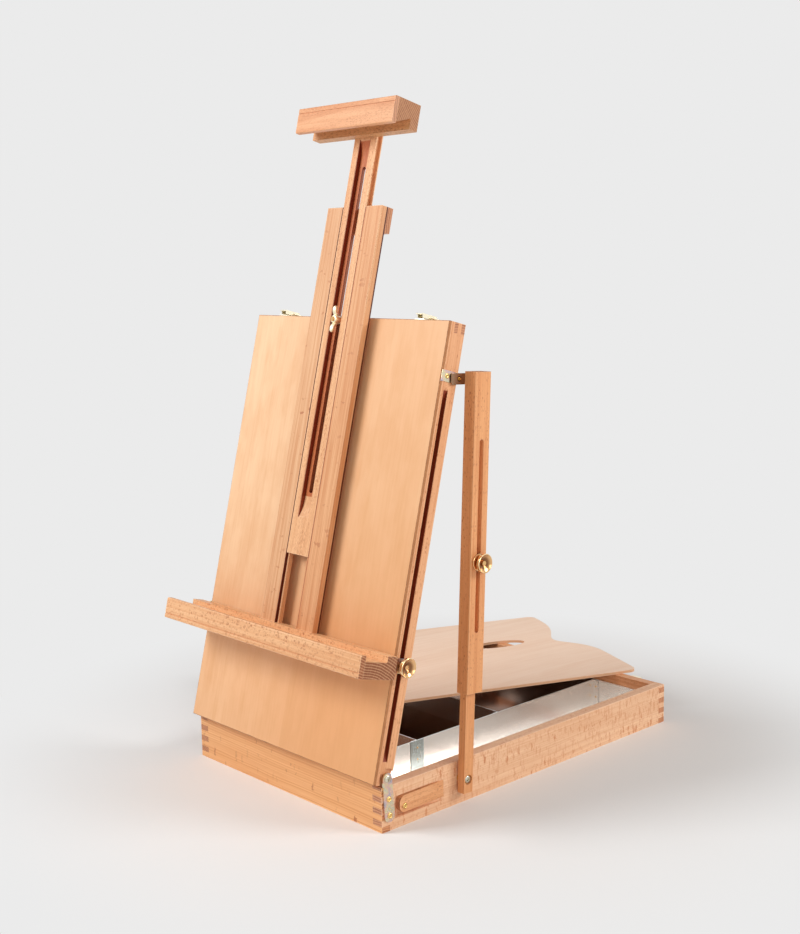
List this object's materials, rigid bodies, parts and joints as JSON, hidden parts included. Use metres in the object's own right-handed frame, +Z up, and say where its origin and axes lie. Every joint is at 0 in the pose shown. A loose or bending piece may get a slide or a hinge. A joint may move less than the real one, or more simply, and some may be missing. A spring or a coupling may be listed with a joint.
{
  "type": "pochade box",
  "caption": "Beech table sketch-box easel, open: shallow finger-jointed box, tilting lid panel with canvas ledge and sliding mast, side strut, metal liner, loose palette.",
  "frame": {"origin": "middle of the box's underside, on the table", "axes": "+Z up, +Y from the hinged front end towards the far end, +X across the box towards the strut"},
  "size_m": [0.6031, 0.734, 0.8677],
  "materials": {
    "beech": "satin oiled",
    "plywood": "satin lacquer",
    "palette_ply": "satin",
    "brass": "polished",
    "yellow_zinc": "yellow passivated",
    "tinplate": "bright",
    "nickel": "nickel plated",
    "leather": "smooth"
  },
  "bodies": {
    "root": {"wall_left": "beech", "wall_right": "beech", "wall_front": "beech", "wall_far": "beech", "bottom_panel": "plywood", "hinge_plate_left": "yellow_zinc", "hinge_plate_right": "yellow_zinc", "side_bar": "beech", "wall_rivets": "brass", "strut_foot_screw": "yellow_zinc", "strut_foot_washers": "yellow_zinc", "liner": "tinplate", "divider_long": "tinplate", "divider_far": "tinplate", "divider_near": "tinplate", "divider_strap": "tinplate", "divider_rivets": "tinplate", "latch_keepers": "nickel", "handle_brackets": "nickel", "far_wall_screws": "nickel"},
    "lid": {"lid_side_left": "beech", "lid_side_right": "beech", "lid_end_hinge": "beech", "lid_end_top": "beech", "lid_panel": "plywood", "pivot_screws": "yellow_zinc", "pivot_spacers": "brass", "lid_link_plate": "yellow_zinc", "lid_link_rivets": "brass", "clamp_bolt": "nickel", "clamp_pad": "beech", "latch_bases": "nickel", "latch_screws": "nickel"},
    "lower_strut": {"strut_lower": "beech", "strut_bolt": "nickel"},
    "upper_strut": {"strut_upper": "beech", "strut_link_plate": "yellow_zinc", "strut_link_rivets": "brass"},
    "clamp_knob": {"strut_knob": "brass"},
    "carriage": {"ledge_bar": "beech", "ledge_strip": "beech", "ledge_bracket_left": "yellow_zinc", "ledge_bracket_right": "yellow_zinc", "bracket_screws": "nickel", "rail_left": "beech", "rail_right": "beech", "rail_bridge": "beech"},
    "left_screw": {"thumb_screw_left": "brass"},
    "right_screw": {"thumb_screw_right": "brass"},
    "canvas_mast": {"mast": "beech", "head_bar": "beech", "head_strip": "beech", "head_screws": "nickel"},
    "clamp_nut": {"wing_nut": "brass"},
    "left_lever": {"latch_lever_left": "nickel"},
    "right_lever": {"latch_lever_right": "nickel"},
    "left_bail": {"latch_bail_left": "nickel"},
    "right_bail": {"latch_bail_right": "nickel"},
    "palette_board": {"palette": "palette_ply"},
    "carry_handle": {"handle_grip": "leather"}
  },
  "joints": [
    {"name": "lid_fold", "type": "hinge", "parent": "root", "child": "lid", "pos_m": [0, -0.2685, 0.0662], "axis": [1, 0, 0], "range_deg": [-73.9, 8]},
    {"name": "strut_swing", "type": "hinge", "parent": "root", "child": "lower_strut", "pos_m": [0.1886, -0.145, 0.034], "axis": [1, 0, 0], "range_deg": [-84.85, 9.63]},
    {"name": "strut_slide", "type": "slide", "parent": "lower_strut", "child": "upper_strut", "axis": [0, 0.0512, 0.9987], "range_m": [-0.138, 0.0158]},
    {"name": "strut_knob_turn", "type": "hinge", "parent": "lower_strut", "child": "clamp_knob", "pos_m": [0.1886, -0.13095, 0.30814], "axis": [1, 0, 0], "continuous": true},
    {"name": "carriage_slide", "type": "slide", "parent": "lid", "child": "carriage", "axis": [0, 0.2436, 0.9699], "range_m": [-0.106, 0.099]},
    {"name": "left_screw_turn", "type": "hinge", "parent": "carriage", "child": "left_screw", "pos_m": [-0.1876, -0.24252, 0.19835], "axis": [-1, 0, 0], "continuous": true},
    {"name": "right_screw_turn", "type": "hinge", "parent": "carriage", "child": "right_screw", "pos_m": [0.1876, -0.24252, 0.19835], "axis": [1, 0, 0], "continuous": true},
    {"name": "mast_slide", "type": "slide", "parent": "carriage", "child": "canvas_mast", "axis": [0, 0.2436, 0.9699], "range_m": [-0.088, 0.119]},
    {"name": "wing_nut_turn", "type": "hinge", "parent": "lid", "child": "clamp_nut", "pos_m": [0, -0.17007, 0.59763], "axis": [0, -0.9699, 0.2436], "continuous": true},
    {"name": "left_lever_lift", "type": "hinge", "parent": "lid", "child": "left_lever", "pos_m": [-0.133, -0.13201, 0.59931], "axis": [-1, 0, 0], "range_deg": [0, 85]},
    {"name": "right_lever_lift", "type": "hinge", "parent": "lid", "child": "right_lever", "pos_m": [0.133, -0.13201, 0.59931], "axis": [-1, 0, 0], "range_deg": [0, 85]},
    {"name": "left_bail_swing", "type": "hinge", "parent": "left_lever", "child": "left_bail", "pos_m": [-0.133, -0.14026, 0.60138], "axis": [-1, 0, 0], "range_deg": [-86, 1]},
    {"name": "right_bail_swing", "type": "hinge", "parent": "right_lever", "child": "right_bail", "pos_m": [0.133, -0.14026, 0.60138], "axis": [-1, 0, 0], "range_deg": [-86, 1]},
    {"name": "palette_lift", "type": "slide", "parent": "root", "child": "palette_board", "axis": [0, 0, 1], "range_m": [0, 0.06]},
    {"name": "handle_swing", "type": "hinge", "parent": "root", "child": "carry_handle", "pos_m": [0, 0.284, 0.04], "axis": [1, 0, 0], "range_deg": [0, 85]}
  ],
  "couplings": [
    {"joint": "strut_swing", "follows": "lid_fold", "ratio": 1.1414},
    {"joint": "strut_slide", "follows": "lid_fold", "m_per_rad": 0.1062},
    {"joint": "left_bail_swing", "follows": "left_lever_lift", "ratio": -1},
    {"joint": "right_bail_swing", "follows": "right_lever_lift", "ratio": -1}
  ]
}
